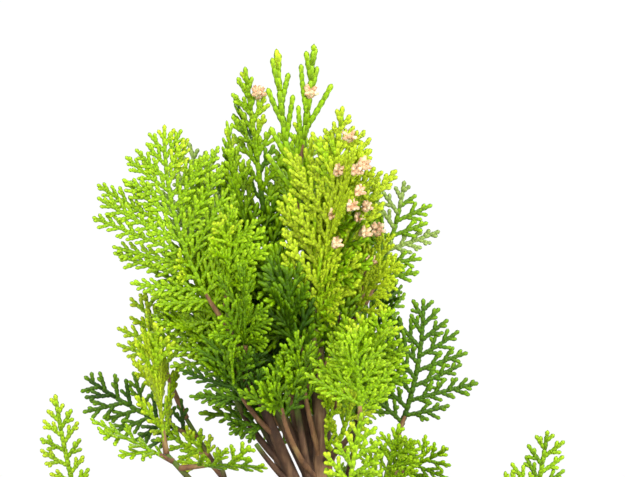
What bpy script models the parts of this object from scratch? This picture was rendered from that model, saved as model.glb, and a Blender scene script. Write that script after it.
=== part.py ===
"""A potted thuja bonsai: pot, soil, trunk, boughs and fans of scale-leaved foliage. Metres, +Z up.

The origin is the middle of the pot's flat underside. Every limb and fan grows by the same rule: it leaves
its parent at a share of the parent's length, on a bearing, at a rise that lifts steadily towards its tip.
Bearings are degrees round the trunk seen from above: 0 is +X, 90 is +Y, 180 is -X and 270 is -Y.
Rise is degrees above the horizontal, and lengths in the tables below are millimetres.
"""

import math
import random

import bmesh
import bpy
import numpy as np
from mathutils import Matrix, Vector
from mathutils.bvhtree import BVHTree

MM = 0.001
GAP = 0.3 * MM  # kept between any two pieces

# Pot: a rounded oblong tray of fired clay, open at the top
POT_LENGTH = 124 * MM
POT_WIDTH = 94 * MM
POT_HEIGHT = 50 * MM
POT_WALL = 5 * MM
POT_FLOOR = 6 * MM
POT_CORNER_POWER = 4.5  # 2 is an ellipse, and a high power is a sharp oblong
POT_SIDES = 24
DRAIN_RADIUS = 5 * MM
DRAIN_SPACING = 56 * MM

# Soil: fills the pot to just under the rim, highest round the trunk
SOIL_EDGE = POT_HEIGHT - 6 * MM
SOIL_TOP = POT_HEIGHT - 3.5 * MM
SOIL_FLAT_SHARE = 0.3  # the level middle that the trunk stands on

# Trunk: centre line (x, y, height above the soil) and radius, foot to tip
TRUNK_LINE = (
    (0.0, 0.0, 0.0),
    (-3.0, 0.5, 28.0),
    (-1.5, 1.0, 64.0),
    (2.0, 0.5, 98.0),
    (3.2, 0.0, 132.0),
    (1.6, 0.0, 160.0),
    (-0.6, 0.0, 185.0),
    (-2.8, 0.0, 207.0),
)
TRUNK_RADII = (8.2, 6.4, 5.6, 4.6, 2.3, 1.8, 1.2, 0.7)
TRUNK_SIDES = 10
TRUNK_STEPS_PER_SPAN = 2
ROOT_FLARE = 5.0  # how far the roots swell the trunk's foot, in millimetres
ROOT_FLARE_RISE = 9.0
ROOT_COUNT = 5

BOUGH_SIDES = 6
BOUGH_STEPS = 4
STEM_SIDES = 4
STEM_STEPS = 3

# Boughs: parent, share, bearing, rise, lift, length, foot radius, tip radius
BOUGHS = {
    "left_leader": ("trunk", 0.53, 197, 65, 5, 66, 2.2, 1.3),
    "rear_leader": ("trunk", 0.545, 137, 71, 7, 68, 2.1, 1.0),
    "bough_left_low": ("trunk", 0.39, 186, 62, -16, 64, 1.9, 1.0),
    "bough_far_left": ("trunk", 0.3, 174, 26, 28, 75, 2.1, 1.0),
    "bough_left_rear": ("trunk", 0.46, 161, 44, 14, 58, 1.7, 0.9),
    "bough_right_low": ("trunk", 0.425, 3, 54, 24, 53, 1.6, 0.9),
    "bough_far_right": ("trunk", 0.33, -2, 22, 28, 71, 2.0, 1.0),
    "bough_right_rear": ("trunk", 0.74, 27, 50, 4, 22, 1.1, 0.7),
    "bough_front_right": ("trunk", 0.625, 298, 26, 10, 24, 1.2, 0.8),
    "bough_front_low": ("trunk", 0.36, 277, 18, 26, 50, 1.9, 1.0),
    "bough_front_left": ("trunk", 0.3, 228, 18, 20, 46, 1.9, 1.0),
    "bough_front_right_low": ("trunk", 0.31, 318, 16, 20, 45, 1.9, 1.0),
    "bough_back_low": ("trunk", 0.32, 84, 16, 22, 46, 1.9, 1.0),
    "bough_back_left": ("trunk", 0.505, 128, 48, 16, 46, 1.6, 0.9),
    "bough_back_right": ("trunk", 0.49, 64, 46, 20, 48, 1.7, 0.9),
    "bough_back_mid": ("trunk", 0.6, 94, 40, 24, 34, 1.3, 0.8),
    "bough_back_left_low": ("trunk", 0.27, 138, 18, 22, 50, 1.9, 1.0),
    "bough_back_right_low": ("trunk", 0.28, 38, 18, 22, 50, 1.9, 1.0),
}

# Fans: limb, share, bearing, rise, lift, reach, spread, twist, fold, bare share, pairs, teeth
# Spread is how far the sprays reach to each side of the stem. Twist turns the fan's plane about its stem,
# from upright and radial, and fold is how far its sprays lean out of that plane, both in degrees.
FANS = {
    "fan_apex_right": ("trunk", 1.0, 0, 80, 6, 31, 5, 10, 20, 0.25, 2, 1),
    "fan_apex_left": ("trunk", 0.9, 180, 75, 12, 51, 5, 0, 20, 0.5, 2, 1),
    "fan_crest": ("trunk", 0.78, -50, 80, 0, 61, 15, 55, 30, 0.1, 5, 2),
    "fan_rear_right": ("bough_right_rear", 1.0, 2, 62, 20, 34, 12, 0, 8, 0.15, 3, 2),
    "fan_crown_left": ("rear_leader", 1.0, 180, 84, -2, 55, 7, 0, 25, 0.15, 4, 2),
    "fan_crown_left_edge": ("rear_leader", 0.7, 190, 66, 14, 62, 8, 50, 20, 0.4, 4, 2),
    "fan_crown_rear_left": ("rear_leader", 0.52, 154, 60, 14, 67, 13, 24, 12, 0.4, 4, 2),
    "fan_crown_rear": ("rear_leader", 0.78, 66, 64, 26, 58, 11, -60, 20, 0.25, 4, 2),
    "fan_crown_back_right": ("trunk", 0.8, 54, 54, 24, 46, 12, -30, 20, 0.3, 3, 2),
    "fan_heart": ("trunk", 0.72, 238, 60, 22, 42, 11, -55, 25, 0.25, 4, 2),
    "fan_left": ("left_leader", 0.85, 186, 49, 44, 60, 18, 0, 12, 0.25, 5, 2),
    "fan_left_front": ("left_leader", 1.0, 335, 74, 4, 26, 14, 25, 18, 0.1, 4, 2),
    "fan_left_edge": ("bough_left_rear", 1.0, 190, 62, 16, 36, 11, -10, 15, 0.3, 3, 2),
    "fan_front_right": ("bough_front_right", 1.0, 180, 86, 0, 25, 15, 0, 15, 0.1, 4, 2),
    "fan_right": ("bough_right_low", 1.0, 0, 62, 26, 38, 12, 0, 6, 0.1, 4, 2),
    "fan_right_mid": ("trunk", 0.69, -24, 38, 34, 34, 11, 24, 15, 0.2, 3, 2),
    "fan_front_centre": ("trunk", 0.6, 226, 30, 62, 38, 12, -40, 20, 0.3, 3, 2),
    "fan_left_centre": ("left_leader", 0.45, 216, 30, 50, 34, 12, -40, 18, 0.3, 3, 2),
    "fan_heart_rear": ("rear_leader", 0.3, 176, 44, 30, 36, 11, 0, 15, 0.35, 3, 2),
    "fan_back_left": ("bough_back_left", 1.0, 138, 70, 12, 44, 14, 10, 18, 0.1, 4, 2),
    "fan_back_right": ("bough_back_right", 1.0, 60, 74, 8, 44, 14, -10, 18, 0.1, 4, 2),
    "fan_back_mid": ("bough_back_mid", 1.0, 92, 66, 14, 46, 13, 20, 18, 0.1, 4, 2),
    "fan_left_low": ("bough_left_low", 1.0, 196, 82, 0, 38, 11, 60, 25, 0.14, 4, 2),
    "fan_left_rear": ("bough_left_rear", 0.9, 178, 22, 14, 34, 8, 0, 15, 0.2, 3, 2),
    "fan_left_low_outer": ("bough_left_low", 0.96, 190, 20, 4, 25, 8, 60, 18, 0.15, 3, 2),
    "fan_left_low_inner": ("bough_left_low", 0.92, 342, 10, -16, 24, 7, 60, 18, 0.2, 3, 2),
    "fan_far_left": ("bough_far_left", 1.0, 180, 80, 8, 38, 10, 0, 15, 0.1, 4, 2),
    "fan_far_right": ("bough_far_right", 1.0, -4, 76, 6, 31, 9, 0, 15, 0.1, 4, 2),
    "fan_right_low": ("bough_right_low", 0.8, -30, 20, 10, 20, 8, 20, 18, 0.2, 2, 2),
    "fan_right_front": ("bough_right_low", 0.5, 296, 48, 20, 36, 9, 40, 20, 0.3, 3, 2),
    "fan_front_low": ("bough_front_low", 1.0, 340, 80, 0, 47, 11, 20, 20, 0.1, 4, 2),
    "fan_front_left": ("bough_front_left", 1.0, 222, 30, 34, 44, 19, 20, 22, 0.1, 3, 2),
    "fan_front_right_low": ("bough_front_right_low", 1.0, 322, 30, 34, 44, 19, -20, 22, 0.1, 3, 2),
    "fan_back_low": ("bough_back_low", 1.0, 88, 32, 34, 50, 19, 30, 22, 0.1, 3, 2),
    "fan_back_left_low": ("bough_back_left_low", 1.0, 142, 34, 36, 52, 19, 0, 20, 0.1, 3, 2),
    "fan_back_right_low": ("bough_back_right_low", 1.0, 34, 34, 36, 52, 19, 0, 20, 0.1, 3, 2),
    "fan_low_left": ("trunk", 0.24, 198, 14, 34, 52, 17, 30, 20, 0.3, 3, 2),
    "fan_low_right": ("trunk", 0.25, 346, 14, 34, 52, 17, -30, 20, 0.3, 3, 2),
    "fan_low_back": ("trunk", 0.23, 108, 14, 34, 52, 17, 30, 20, 0.3, 3, 2),
}
CONES_PER_FAN = {"fan_crest": 7, "fan_apex_right": 1, "fan_crown_left": 1}
CONE_RADIUS = 1.6 * MM

STEM_FOOT_RADIUS = 1.15 * MM
STEM_TIP_RADIUS = 0.85 * MM
BLADE_THICK = 0.7 * MM
STALK = 0.35 * MM  # half the width of a blade's root, which ends inside the stem
RIB_FOOT = 1.1 * MM  # half the width of its rib further out
RIB_TIP = 0.7 * MM
SPLAY_LOW, SPLAY_HIGH = 58, 34  # a spray's angle to its stem, from the lowest to the highest
FINGER_SHARE = 0.42  # a blade's longest finger, as a share of the blade
FINGER_SPLAY = 42
CURL = 14  # how far a spray bends up towards the fan's tip, in degrees
SHORTER = (1.0, 0.78, 0.6)  # lengths that a spray tries before it is skipped
APEX_SHARE = 0.24  # the blade at the fan's tip, as a share of its reach
SEED = 7


def clear_scene():
    for old in list(bpy.data.objects):
        bpy.data.objects.remove(old, do_unlink=True)


def material(name, colour, roughness, metallic=0.0):
    made = bpy.data.materials.new(name)
    made.use_nodes = True
    shader = made.node_tree.nodes["Principled BSDF"]
    shader.inputs["Base Color"].default_value = (*colour, 1.0)
    shader.inputs["Roughness"].default_value = roughness
    shader.inputs["Metallic"].default_value = metallic
    made.diffuse_color = (*colour, 1.0)
    return made


def object_from(bm, name, look=None):
    mesh = bpy.data.meshes.new(name)
    bm.to_mesh(mesh)
    bm.free()
    made = bpy.data.objects.new(name, mesh)
    bpy.context.scene.collection.objects.link(made)
    if look:
        mesh.materials.append(look)
    return made


def shade_round(made, angle=40):
    made.data.shade_smooth()
    made.data.set_sharp_from_angle(angle=math.radians(angle))


def heading(bearing, rise):
    """The unit vector on a bearing and rise, both in degrees."""
    b, r = math.radians(bearing), math.radians(rise)
    return Vector((math.cos(r) * math.cos(b), math.cos(r) * math.sin(b), math.sin(r)))


def smooth_line(points, steps):
    """Points of a Catmull-Rom curve through the given ones, with the curve's place between them."""
    ends = [points[0] * 2 - points[1], *points, points[-1] * 2 - points[-2]]
    line = []
    for k in range(len(points) - 1):
        a, b, c, d = ends[k : k + 4]
        for step in range(steps):
            u = step / steps
            curve = (2 * b + (c - a) * u + (2 * a - 5 * b + 4 * c - d) * u**2) / 2
            line.append((curve + (3 * b - a - 3 * c + d) * u**3 / 2, k + u))
    line.append((points[-1], len(points) - 1.0))
    return line


def grown_line(start, bearing, rise, lift, length, steps):
    """A centre line that leaves start and lifts steadily from rise to rise + lift."""
    line = [start]
    for step in range(steps):
        slope = rise + lift * (step + 0.5) / steps
        line.append(line[-1] + heading(bearing, slope) * length / steps)
    return line


def point_at(line, share):
    """The point at a share of a centre line's length."""
    spans = [(b - a).length for a, b in zip(line, line[1:])]
    left = share * sum(spans)
    for a, b, span in zip(line, line[1:], spans):
        if left <= span:
            return a.lerp(b, left / span)
        left -= span
    return line[-1].copy()


def tube(line, radii, sides, swell=None):
    """A closed tapering tube. swell(height, angle) adds to the radius, as roots do at a trunk's foot."""
    bm = bmesh.new()
    rings = []
    across = Vector((1, 0, 0)) if abs((line[1] - line[0]).normalized().x) < 0.9 else Vector((0, 1, 0))
    for k, (centre, radius) in enumerate(zip(line, radii)):
        before, after = line[max(k - 1, 0)], line[min(k + 1, len(line) - 1)]
        along = (after - before).normalized()
        across = (across - along * across.dot(along)).normalized()
        if k == 0 and swell:
            along, across = Vector((0, 0, 1)), Vector((1, 0, 0))
        up = along.cross(across)
        ring = []
        for side in range(sides):
            turn = 2 * math.pi * side / sides
            reach = radius + (swell(centre.z - line[0].z, turn) if swell else 0)
            ring.append(bm.verts.new(centre + (across * math.cos(turn) + up * math.sin(turn)) * reach))
        rings.append(ring)
    for low, high in zip(rings, rings[1:]):
        for side in range(sides):
            after = (side + 1) % sides
            bm.faces.new((low[side], low[after], high[after], high[side]))
    bm.faces.new(reversed(rings[0]))
    bm.faces.new(rings[-1])
    return bm


def tapered(foot, tip, count):
    return [foot + (tip - foot) * k / (count - 1) for k in range(count)]


def apply_modifiers(made):
    """Leaves the object with the mesh that its modifiers make."""
    graph = bpy.context.evaluated_depsgraph_get()
    mesh = bpy.data.meshes.new_from_object(made.evaluated_get(graph))
    made.modifiers.clear()
    made.data = mesh


def remove(made):
    bpy.data.objects.remove(made, do_unlink=True)


def cut_by(made, cutter_mesh):
    """Takes a closed bmesh away from an object and drops the cutter."""
    cutter = object_from(cutter_mesh, "cutter")
    cutter.hide_render = True
    cutter.display_type = "WIRE"
    cut = made.modifiers.new("cut", "BOOLEAN")
    cut.operation = "DIFFERENCE"
    cut.object = cutter
    apply_modifiers(made)
    remove(cutter)


def keep_largest_body(made):
    """Drops the loose scraps that a cut leaves."""
    bm = bmesh.new()
    bm.from_mesh(made.data)
    left, bodies = set(bm.verts), []
    while left:
        body, edge = set(), [left.pop()]
        while edge:
            vert = edge.pop()
            body.add(vert)
            near = {e.other_vert(vert) for e in vert.link_edges} & left
            left -= near
            edge.extend(near)
        bodies.append(body)
    bodies.sort(key=len)
    for body in bodies[:-1]:
        bmesh.ops.delete(bm, geom=list(body), context="VERTS")
    bm.to_mesh(made.data)
    bm.free()


# Pot and soil


def oblong_ring(bm, length, width, height, shrink=0.0):
    """One level ring of a rounded oblong, shrink inside the full size."""
    a, b = length / 2 - shrink, width / 2 - shrink
    ring = []
    for side in range(POT_SIDES):
        turn = 2 * math.pi * side / POT_SIDES
        c, s = math.cos(turn), math.sin(turn)
        x = math.copysign(abs(c) ** (2 / POT_CORNER_POWER), c) * a
        y = math.copysign(abs(s) ** (2 / POT_CORNER_POWER), s) * b
        ring.append(bm.verts.new((x, y, height)))
    return ring


def oblong_body(levels):
    """A closed body from (height, shrink) levels, walked from its first cap round to its last."""
    bm = bmesh.new()
    rings = [oblong_ring(bm, POT_LENGTH, POT_WIDTH, height, shrink) for height, shrink in levels]
    for low, high in zip(rings, rings[1:]):
        for side in range(POT_SIDES):
            after = (side + 1) % POT_SIDES
            bm.faces.new((low[side], low[after], high[after], high[side]))
    bm.faces.new(reversed(rings[0]))
    bm.faces.new(rings[-1])
    return bm


def add_pot(look):
    foot, rim = 13 * MM, 6 * MM
    inner_foot = foot + POT_WALL
    levels = (
        (0.0, foot),
        (5 * MM, foot - 1 * MM),
        (7 * MM, foot - 3.5 * MM),
        (POT_HEIGHT - rim - 1.5 * MM, 3.6 * MM),
        (POT_HEIGHT - rim, 0.6 * MM),
        (POT_HEIGHT - 1 * MM, 0.0),
        (POT_HEIGHT, 1.2 * MM),
        (POT_HEIGHT, POT_WALL + 1 * MM),
        (POT_HEIGHT - rim, POT_WALL + 3.4 * MM),
        (POT_FLOOR, inner_foot),
    )
    pot = object_from(oblong_body(levels), "pot", look)
    for side in (-1, 1):
        drill = bmesh.new()
        middle = Matrix.Translation((side * DRAIN_SPACING / 2, 0, POT_FLOOR / 2))
        bmesh.ops.create_cone(
            drill,
            cap_ends=True,
            segments=12,
            radius1=DRAIN_RADIUS,
            radius2=DRAIN_RADIUS,
            depth=POT_FLOOR * 2,
            matrix=middle,
        )
        cut_by(pot, drill)
    shade_round(pot, 30)


def add_soil(look):
    rim, inner_rim = 6 * MM, POT_WALL + 3.4 * MM
    inner_foot = 13 * MM + POT_WALL
    slope = (inner_foot - inner_rim) / (POT_HEIGHT - rim - POT_FLOOR)
    flat = (POT_WIDTH / 2) * (1 - SOIL_FLAT_SHARE)
    levels = (
        (POT_FLOOR + GAP, inner_foot + GAP),
        (SOIL_EDGE, inner_foot - slope * (SOIL_EDGE - POT_FLOOR) + 2 * GAP),
        (SOIL_EDGE + 0.6 * (SOIL_TOP - SOIL_EDGE), flat * 0.6),
        (SOIL_TOP, flat),
    )
    soil = object_from(oblong_body(levels), "soil", look)
    shade_round(soil, 50)


# Limbs


def trunk_line():
    ground = SOIL_TOP + GAP
    points = [Vector((x * MM, y * MM, ground + z * MM)) for x, y, z in TRUNK_LINE]
    placed = smooth_line(points, TRUNK_STEPS_PER_SPAN)
    radii = []
    for _, place in placed:
        low = min(int(place), len(TRUNK_RADII) - 2)
        share = place - low
        radii.append((TRUNK_RADII[low] * (1 - share) + TRUNK_RADII[low + 1] * share) * MM)
    return [point for point, _ in placed], radii


def root_swell(height, turn):
    """Roots spread the trunk's foot, and die away upwards."""
    fade = math.exp(-height / (ROOT_FLARE_RISE * MM))
    lobes = 0.6 + 0.4 * math.cos(ROOT_COUNT * turn + 0.7)
    return ROOT_FLARE * MM * fade * lobes


def limb_tube(limb, grow=0.0):
    """The limb's tube, or with grow the room that other pieces leave for it."""
    radii = [radius + grow for radius in limb["radii"]]
    return tube(limb["line"], radii, limb["sides"], limb["swell"])


def limb_from(parent, share, bearing, rise, lift, length, foot, tip, sides, steps):
    """A limb that leaves its parent's centre line, or that carries on past the parent's tip."""
    start = point_at(parent["line"], share)
    if share >= 1.0:
        start = start + heading(bearing, rise) * GAP
    line = grown_line(start, bearing, rise, lift, length * MM, steps)
    return {"line": line, "radii": tapered(foot, tip, steps + 1), "sides": sides, "swell": None}


def add_limbs(bark):
    line, radii = trunk_line()
    limbs = {"trunk": {"line": line, "radii": radii, "sides": TRUNK_SIDES, "swell": root_swell}}
    shade_round(object_from(limb_tube(limbs["trunk"]), "trunk", bark))
    for name, row in BOUGHS.items():
        parent, share, bearing, rise, lift, length, foot, tip = row
        limb = limb_from(
            limbs[parent], share, bearing, rise, lift, length, foot * MM, tip * MM, BOUGH_SIDES, BOUGH_STEPS
        )
        limbs[name] = limb
        bough = object_from(limb_tube(limb), name, bark)
        cut_by(bough, limb_tube(limbs[parent], GAP))
        keep_largest_body(bough)
        shade_round(bough)
    return limbs


# Foliage


def blade(foot, along, normal, length, teeth, curl):
    """A flat spray: a thin blade cut to the rib between its fingers, bending in its own plane by curl."""
    bm = bmesh.new()
    side = normal.cross(along).normalized()
    spans = teeth + 1

    def rib(share):
        bend = math.radians(curl) * share
        middle = along * math.cos(bend / 2) + side * math.sin(bend / 2)
        ahead = along * math.cos(bend) + side * math.sin(bend)
        return foot + middle * length * share, ahead, normal.cross(ahead)

    def pair(point):
        lift = normal * BLADE_THICK / 2
        return bm.verts.new(point + lift), bm.verts.new(point - lift)

    edges = {1: [], -1: []}
    for k in range(spans):
        centre, ahead, out = rib(k / spans)
        half = RIB_FOOT + (RIB_TIP - RIB_FOOT) * k / spans if k else STALK
        for hand in (1, -1):
            edges[hand].append(pair(centre + out * half * hand))
    tips = {1: [], -1: []}
    for hand in (1, -1):
        for k in range(teeth):
            share = (k + (0.62 if hand == 1 else 0.38)) / spans
            centre, ahead, out = rib(share)
            reach = length * FINGER_SHARE * (1 - 0.45 * share)
            lean = math.radians(FINGER_SPLAY)
            tips[hand].append(pair(centre + (ahead * math.cos(lean) + out * math.sin(lean) * hand) * reach))
    apex = pair(rib(1.0)[0])

    def wall(a, b):
        bm.faces.new((a[0], a[1], b[1], b[0]))

    def slab(*corners):
        bm.faces.new([corner[0] for corner in corners])
        bm.faces.new([corner[1] for corner in reversed(corners)])

    left, right = edges[1], edges[-1]
    slab_rows = [(right[k], right[k + 1], left[k + 1], left[k]) for k in range(teeth)]
    for row in slab_rows:
        slab(*row)
    slab(right[teeth], apex, left[teeth])
    for k in range(teeth):
        slab(left[k], left[k + 1], tips[1][k])
        slab(right[k + 1], right[k], tips[-1][k])
        wall(tips[1][k], left[k])
        wall(left[k + 1], tips[1][k])
        wall(right[k], tips[-1][k])
        wall(tips[-1][k], right[k + 1])
    wall(apex, left[teeth])
    wall(right[teeth], apex)
    wall(left[0], right[0])
    bmesh.ops.recalc_face_normals(bm, faces=bm.faces[:])
    corners = [vert.co.copy() for vert in bm.verts]
    return bm, corners, apex[0].co - normal * BLADE_THICK / 2


def fan_frame(bearing, twist, along):
    """The fan plane's normal and its side vector. With no twist the plane is upright and radial."""
    across = Vector((-math.sin(math.radians(bearing)), math.cos(math.radians(bearing)), 0))
    normal = (across - along * across.dot(along)).normalized()
    normal.rotate(Matrix.Rotation(math.radians(twist), 3, along))
    return normal, normal.cross(along).normalized()


def outline_share(place):
    """How far a spray reaches, as a share of the fan's spread: widest low down, narrow at the tip."""
    return min(1.0, 0.72 + 1.6 * place) * (1 - 0.62 * place**1.6)


def fan_blades(row, stem, dice):
    """Each spray of one fan, foot to tip: where it leaves the stem, its plane, its length, teeth and curl."""
    _, _, bearing, rise, lift, reach, spread, twist, fold, bare, pairs, teeth = row
    sprays = []
    count = 2 * pairs
    for k in range(count):
        place = k / (count - 1)
        share = bare + (0.86 - bare) * place
        along = heading(bearing, rise + lift * share)
        normal, side = fan_frame(bearing, twist, along)
        hand = 1 if k % 2 else -1
        lean = math.radians(fold * dice.uniform(-1, 1))
        splay = math.radians(SPLAY_LOW + (SPLAY_HIGH - SPLAY_LOW) * place + dice.uniform(-5, 5))
        out = side * hand * math.cos(lean) + normal * math.sin(lean)
        ahead = (along * math.cos(splay) + out * math.sin(splay)).normalized()
        flat = ahead.cross(along).normalized() * hand
        length = spread * MM * outline_share(place) / math.sin(splay) * dice.uniform(0.86, 1.08)
        sprays.append((point_at(stem["line"], share), ahead, flat, length, teeth, -CURL * hand))
    along = heading(bearing, rise + lift)
    normal, _ = fan_frame(bearing, twist, along)
    foot = point_at(stem["line"], (1 - APEX_SHARE) / (1 - APEX_SHARE / 2))
    sprays.append((foot, along, normal, reach * MM * APEX_SHARE, 2, 0))
    return sprays


def tree_of(bm):
    return BVHTree.FromBMesh(bm)


def gap_to_line(points, line):
    """How far each point is from a centre line, as a row of numbers."""
    best = np.full(len(points), np.inf)
    for a, b in zip(line, line[1:]):
        a, b = np.array(a), np.array(b)
        along = np.clip((points - a) @ (b - a) / ((b - a) @ (b - a)), 0, 1)
        best = np.minimum(best, np.linalg.norm(points - a - along[:, None] * (b - a), axis=1))
    return best


def in_own_space(name, corners, stems):
    """A fan's own space lies nearer its stem than any other's, with each distance as a share of the spread."""
    points = np.array([tuple(corner) for corner in corners])
    spread = FANS[name][6] * MM
    mine = gap_to_line(points, stems[name]["line"]) / spread
    for other, stem in stems.items():
        if other != name:
            far = FANS[other][6] * MM
            if np.min(gap_to_line(points, stem["line"]) / far - mine) < GAP / 2 * (1 / far + 1 / spread):
                return False
    return True


def fuse(base, parts, look):
    """One Boolean union of the base with all the parts."""
    group = bpy.data.collections.new("to_fuse")
    bpy.context.scene.collection.children.link(group)
    for part in parts:
        group.objects.link(part)
        bpy.context.scene.collection.objects.unlink(part)
    join = base.modifiers.new("fuse", "BOOLEAN")
    join.operation = "UNION"
    join.solver = "MANIFOLD"  # EXACT leaves open scraps where many thin blades meet
    join.operand_type = "COLLECTION"
    join.collection = group
    apply_modifiers(base)
    for part in parts:
        remove(part)
    bpy.data.collections.remove(group)
    base.data.materials.clear()
    base.data.materials.append(look)


def add_fans(limbs, leaf):
    stems = {}
    for name, row in FANS.items():
        parent, share, bearing, rise, lift, reach = row[:6]
        stems[name] = limb_from(
            limbs[parent],
            share,
            bearing,
            rise,
            lift,
            reach * (1 - APEX_SHARE / 2),
            STEM_FOOT_RADIUS,
            STEM_TIP_RADIUS,
            STEM_SIDES,
            STEM_STEPS,
        )
    rooms = {name: tree_of(limb_tube(limb, GAP)) for name, limb in {**limbs, **stems}.items()}
    skipped = 0
    for name, row in FANS.items():
        dice = random.Random(f"{SEED} {name}")
        parent = row[0]
        base = object_from(limb_tube(stems[name]), name, leaf)
        parts, tips = [], []
        for foot, ahead, flat, length, teeth, curl in fan_blades(row, stems[name], dice):
            for share in SHORTER:
                bm, corners, tip = blade(foot, ahead, flat, length * share, teeth, curl)
                mine = tree_of(bm)
                touches = any(mine.overlap(room) for key, room in rooms.items() if key != name)
                if not touches and in_own_space(name, corners, stems):
                    parts.append(object_from(bm, "blade"))
                    tips.append(tip)
                    break
                bm.free()
            else:
                skipped += 1
        cones = CONES_PER_FAN.get(name, 0)
        for tip in tips[-1 - cones : -1]:
            bud = bmesh.new()
            bmesh.ops.create_icosphere(
                bud, subdivisions=1, radius=CONE_RADIUS, matrix=Matrix.Translation(tip)
            )
            parts.append(object_from(bud, "cone"))
        if parts:
            fuse(base, parts, leaf)
        cut_by(base, limb_tube(limbs[parent], GAP))
        keep_largest_body(base)
    print(f"{skipped} blades found no room")


def main():
    clear_scene()
    clay = material("clay", (0.16, 0.085, 0.055), 0.6)
    earth = material("earth", (0.07, 0.045, 0.03), 0.95)
    bark = material("bark", (0.16, 0.075, 0.05), 0.85)
    leaf = material("leaf", (0.2, 0.45, 0.03), 0.5)
    add_pot(clay)
    add_soil(earth)
    limbs = add_limbs(bark)
    add_fans(limbs, leaf)


main()
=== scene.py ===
import random
from math import copysign, cos, exp, hypot, pi, radians, sin, sqrt

import bmesh
import bpy
import numpy as np
from mathutils import Matrix, Vector, noise


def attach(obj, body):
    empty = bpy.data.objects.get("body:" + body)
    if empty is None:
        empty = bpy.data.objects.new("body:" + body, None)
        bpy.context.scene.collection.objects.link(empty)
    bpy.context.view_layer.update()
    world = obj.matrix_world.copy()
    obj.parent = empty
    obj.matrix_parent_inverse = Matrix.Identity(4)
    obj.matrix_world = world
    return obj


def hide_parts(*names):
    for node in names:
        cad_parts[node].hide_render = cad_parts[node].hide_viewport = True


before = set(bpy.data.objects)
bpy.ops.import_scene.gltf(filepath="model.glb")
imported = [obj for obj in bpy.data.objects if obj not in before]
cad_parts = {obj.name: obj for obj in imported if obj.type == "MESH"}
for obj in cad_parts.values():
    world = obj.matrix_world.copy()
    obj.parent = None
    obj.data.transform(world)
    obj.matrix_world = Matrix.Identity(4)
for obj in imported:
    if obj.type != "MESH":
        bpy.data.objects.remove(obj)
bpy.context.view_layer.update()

mm = 0.001


# Lines and directions: bearing is degrees round the trunk from +X, rise is degrees above the horizontal

def heading(bearing, rise):
    b, r = radians(bearing), radians(rise)
    return Vector((cos(r) * cos(b), cos(r) * sin(b), sin(r)))


def smoothLine(points, steps):
    # a curve through the points, each of its own with its place between them
    ends = [points[0] * 2 - points[1], *points, points[-1] * 2 - points[-2]]
    line = []
    for k in range(len(points) - 1):
        a, b, c, d = ends[k:k + 4]
        for step in range(steps):
            u = step / steps
            bend = (2 * b + (c - a) * u + (2 * a - 5 * b + 4 * c - d) * u ** 2) / 2
            line.append((bend + (3 * b - a - 3 * c + d) * u ** 3 / 2, k + u))
    line.append((points[-1], len(points) - 1.0))
    return line


def grownLine(start, bearing, rise, lift, length, steps):
    line = [start]
    for step in range(steps):
        line.append(line[-1] + heading(bearing, rise + lift * (step + 0.5) / steps) * length / steps)
    return line


def pointAt(line, share):
    spans = [(b - a).length for a, b in zip(line, line[1:])]
    left = share * sum(spans)
    for a, b, span in zip(line, line[1:], spans):
        if left <= span:
            return a.lerp(b, left / span)
        left -= span
    return line[-1].copy()


# Shader maths

class Wire:
    # an output socket that takes part in arithmetic
    def __init__(self, shader, socket):
        self.shader, self.socket = shader, socket

    def __add__(self, other):
        return self.shader.maths("ADD", self, other)

    def __radd__(self, other):
        return self.shader.maths("ADD", other, self)

    def __mul__(self, other):
        return self.shader.maths("MULTIPLY", self, other)

    def __rmul__(self, other):
        return self.shader.maths("MULTIPLY", other, self)


class Shader:
    # the node tree of a material or a world
    def __init__(self, owner, surface, **fixed):
        owner.use_nodes = True
        self.owner, self.tree = owner, owner.node_tree
        self.surface = self.tree.nodes[surface]
        for socket, value in fixed.items():
            self.surface.inputs[socket.replace("_", " ")].default_value = value

    def node(self, kind, settings, sockets, out=0):
        made = self.tree.nodes.new(kind)
        for key, value in settings.items():
            if key == "stops":
                ramp = made.color_ramp.elements
                while len(ramp) < len(value):
                    ramp.new(0.5)
                for stop, (place, colour) in zip(ramp, value):
                    stop.position, stop.color = place, (*colour, 1)
            else:
                setattr(made, key, value)
        for socket, value in sockets.items():
            if isinstance(value, Wire):
                self.tree.links.new(value.socket, made.inputs[socket])
            else:
                made.inputs[socket].default_value = value
        return Wire(self, made.outputs[out])

    def maths(self, operation, *values):
        return self.node("ShaderNodeMath", {"operation": operation}, dict(enumerate(values)))

    def part(self, space, axis):
        spot = self.node("ShaderNodeTexCoord", {}, {}, space)
        return self.node("ShaderNodeSeparateXYZ", {}, {"Vector": spot}, axis)

    def place(self, stretch=(1, 1, 1)):
        spot = self.node("ShaderNodeTexCoord", {}, {}, "Object")
        return self.node("ShaderNodeMapping", {}, {"Vector": spot, "Scale": stretch})

    def grain(self, place, scale, detail=3, rough=0.55):
        sockets = {"Vector": place, "Scale": scale, "Detail": detail, "Roughness": rough}
        return self.node("ShaderNodeTexNoise", {}, sockets, "Fac")

    def ramp(self, factor, *stops):
        return self.node("ShaderNodeValToRGB", {"stops": stops}, {"Fac": factor}, "Color")

    def blend(self, factor, a, b):
        return self.node("ShaderNodeMix", {"data_type": "RGBA"}, {"Factor": factor, 6: a, 7: b}, 2)

    def bump(self, height, depth, strength):
        sockets = {"Height": height, "Distance": depth, "Strength": strength}
        return self.node("ShaderNodeBump", {}, sockets, "Normal")

    def smoothStep(self, value, low, high, top=1):
        sockets = {"Value": value, "From Min": low, "From Max": high, "To Max": top}
        return self.node("ShaderNodeMapRange", {"interpolation_type": "SMOOTHSTEP"}, sockets)

    def wear(self, **links):
        for socket, value in links.items():
            self.tree.links.new(value.socket, self.surface.inputs[socket.replace("_", " ")])
        return self.owner


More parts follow.
